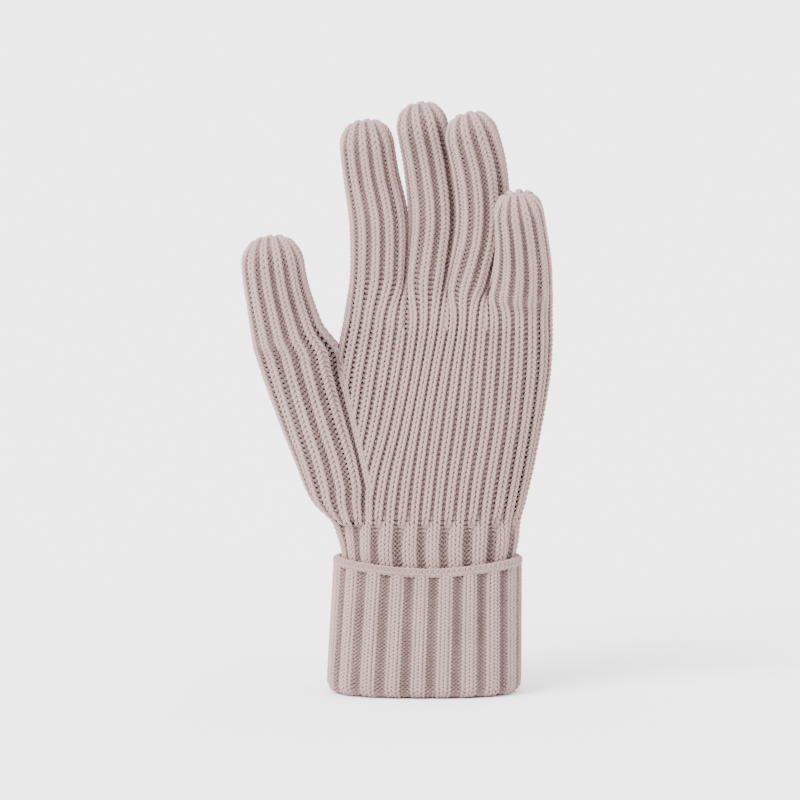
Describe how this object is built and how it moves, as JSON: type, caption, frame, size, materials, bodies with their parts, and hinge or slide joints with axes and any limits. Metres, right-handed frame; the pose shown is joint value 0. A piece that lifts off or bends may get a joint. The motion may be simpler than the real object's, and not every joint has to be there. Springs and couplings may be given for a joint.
{
  "type": "knitted glove",
  "caption": "Ribbed knitted five-finger glove with a thumb gusset and a turned-back ribbed cuff, hollow and open at the cuff, with bending fingers, thumb and wrist.",
  "frame": {"origin": "centre of the opening that the hand goes in by, in the plane of the cuff's lower fold", "axes": "+Z from the cuff towards the fingertips, -Y the palm side, -X the thumb side; a left-hand glove"},
  "size_m": [0.1239, 0.063, 0.2383],
  "materials": {
    "hand_rib": "soft matte wool yarn in rib knit, dusty pink-beige",
    "cuff_rib": "soft matte wool yarn in 2 x 2 rib, dusty pink-beige"
  },
  "bodies": {
    "cuff": {"cuff_lower_fold": "cuff_rib", "cuff_turned_layer": "cuff_rib", "cuff_cast_off_edge": "cuff_rib", "cuff_inner_layer": "cuff_rib"},
    "hand": {"hand_tube": "hand_rib", "thumb_gusset": "hand_rib", "wrist_rib": "hand_rib", "index_root_fold": "hand_rib", "middle_root_fold": "hand_rib", "ring_root_fold": "hand_rib", "little_root_fold": "hand_rib", "thumb_root_fold": "hand_rib"},
    "index_lower": {"index_lower": "hand_rib", "index_knuckle_fold": "hand_rib"},
    "index_middle": {"index_middle": "hand_rib", "index_tip_fold": "hand_rib"},
    "index_tip": {"index_tip": "hand_rib"},
    "middle_lower": {"middle_lower": "hand_rib", "middle_knuckle_fold": "hand_rib"},
    "middle_middle": {"middle_middle": "hand_rib", "middle_tip_fold": "hand_rib"},
    "middle_tip": {"middle_tip": "hand_rib"},
    "ring_lower": {"ring_lower": "hand_rib", "ring_knuckle_fold": "hand_rib"},
    "ring_middle": {"ring_middle": "hand_rib", "ring_tip_fold": "hand_rib"},
    "ring_tip": {"ring_tip": "hand_rib"},
    "little_lower": {"little_lower": "hand_rib", "little_knuckle_fold": "hand_rib"},
    "little_middle": {"little_middle": "hand_rib", "little_tip_fold": "hand_rib"},
    "little_tip": {"little_tip": "hand_rib"},
    "thumb_lower": {"thumb_lower": "hand_rib", "thumb_tip_fold": "hand_rib"},
    "thumb_tip": {"thumb_tip": "hand_rib"}
  },
  "joints": [
    {"name": "wrist_bend", "type": "hinge", "parent": "cuff", "child": "hand", "pos_m": [0.0022, 0, 0.0615], "axis": [1, 0, 0], "range_deg": [-45, 55], "deforming": ["wrist_rib"]},
    {"name": "index_root_bend", "type": "hinge", "parent": "hand", "child": "index_lower", "pos_m": [-0.019, 0.003, 0.164], "axis": [0.9724, -0.2334, 0], "range_deg": [-15, 70], "deforming": ["index_root_fold"]},
    {"name": "index_knuckle_bend", "type": "hinge", "parent": "index_lower", "child": "index_middle", "pos_m": [-0.018, 0.0045, 0.189], "axis": [0.9806, -0.1961, 0], "range_deg": [-6, 80], "deforming": ["index_knuckle_fold"]},
    {"name": "index_tip_bend", "type": "hinge", "parent": "index_middle", "child": "index_tip", "pos_m": [-0.0215, 0.003, 0.2105], "axis": [0.9842, -0.1772, 0], "range_deg": [-8, 50], "deforming": ["index_tip_fold"]},
    {"name": "middle_root_bend", "type": "hinge", "parent": "hand", "child": "middle_lower", "pos_m": [0.0014, 0.002, 0.165], "axis": [0.963, -0.2696, 0], "range_deg": [-10, 66], "deforming": ["middle_root_fold"]},
    {"name": "middle_knuckle_bend", "type": "hinge", "parent": "middle_lower", "child": "middle_middle", "pos_m": [0.0044, 0.0034, 0.191], "axis": [0.9724, -0.2334, 0], "range_deg": [-4, 75], "deforming": ["middle_knuckle_fold"]},
    {"name": "middle_tip_bend", "type": "hinge", "parent": "middle_middle", "child": "middle_tip", "pos_m": [0.002, 0.001, 0.2145], "axis": [0.9806, -0.1961, 0], "range_deg": [-8, 45], "deforming": ["middle_tip_fold"]},
    {"name": "ring_root_bend", "type": "hinge", "parent": "hand", "child": "ring_lower", "pos_m": [0.0171, -0.0014, 0.162], "axis": [0.9524, -0.3048, 0], "range_deg": [-6, 68], "deforming": ["ring_root_fold"]},
    {"name": "ring_knuckle_bend", "type": "hinge", "parent": "ring_lower", "child": "ring_middle", "pos_m": [0.0232, -0.0053, 0.188], "axis": [0.963, -0.2696, 0], "range_deg": [-8, 78], "deforming": ["ring_knuckle_fold"]},
    {"name": "ring_tip_bend", "type": "hinge", "parent": "ring_middle", "child": "ring_tip", "pos_m": [0.0224, -0.0098, 0.211], "axis": [0.9806, -0.1961, 0], "range_deg": [-8, 50], "deforming": ["ring_tip_fold"]},
    {"name": "little_root_bend", "type": "hinge", "parent": "hand", "child": "little_lower", "pos_m": [0.0384, -0.005, 0.157], "axis": [1, 0, 0], "range_deg": [-8, 50], "deforming": ["little_root_fold"]},
    {"name": "little_knuckle_bend", "type": "hinge", "parent": "little_lower", "child": "little_middle", "pos_m": [0.0396, -0.0144, 0.1735], "axis": [1, 0, 0], "range_deg": [-10, 72], "deforming": ["little_knuckle_fold"]},
    {"name": "little_tip_bend", "type": "hinge", "parent": "little_middle", "child": "little_tip", "pos_m": [0.0386, -0.0236, 0.188], "axis": [1, 0, 0], "range_deg": [-6, 45], "deforming": ["little_tip_fold"]},
    {"name": "thumb_root_bend", "type": "hinge", "parent": "hand", "child": "thumb_lower", "pos_m": [-0.0542, -0.0034, 0.143], "axis": [0.9292, 0.3697, 0], "range_deg": [-20, 38], "deforming": ["thumb_root_fold"]},
    {"name": "thumb_tip_bend", "type": "hinge", "parent": "thumb_lower", "child": "thumb_tip", "pos_m": [-0.0592, -0.006, 0.164], "axis": [0.9292, 0.3697, 0], "range_deg": [-10, 50], "deforming": ["thumb_tip_fold"]}
  ]
}
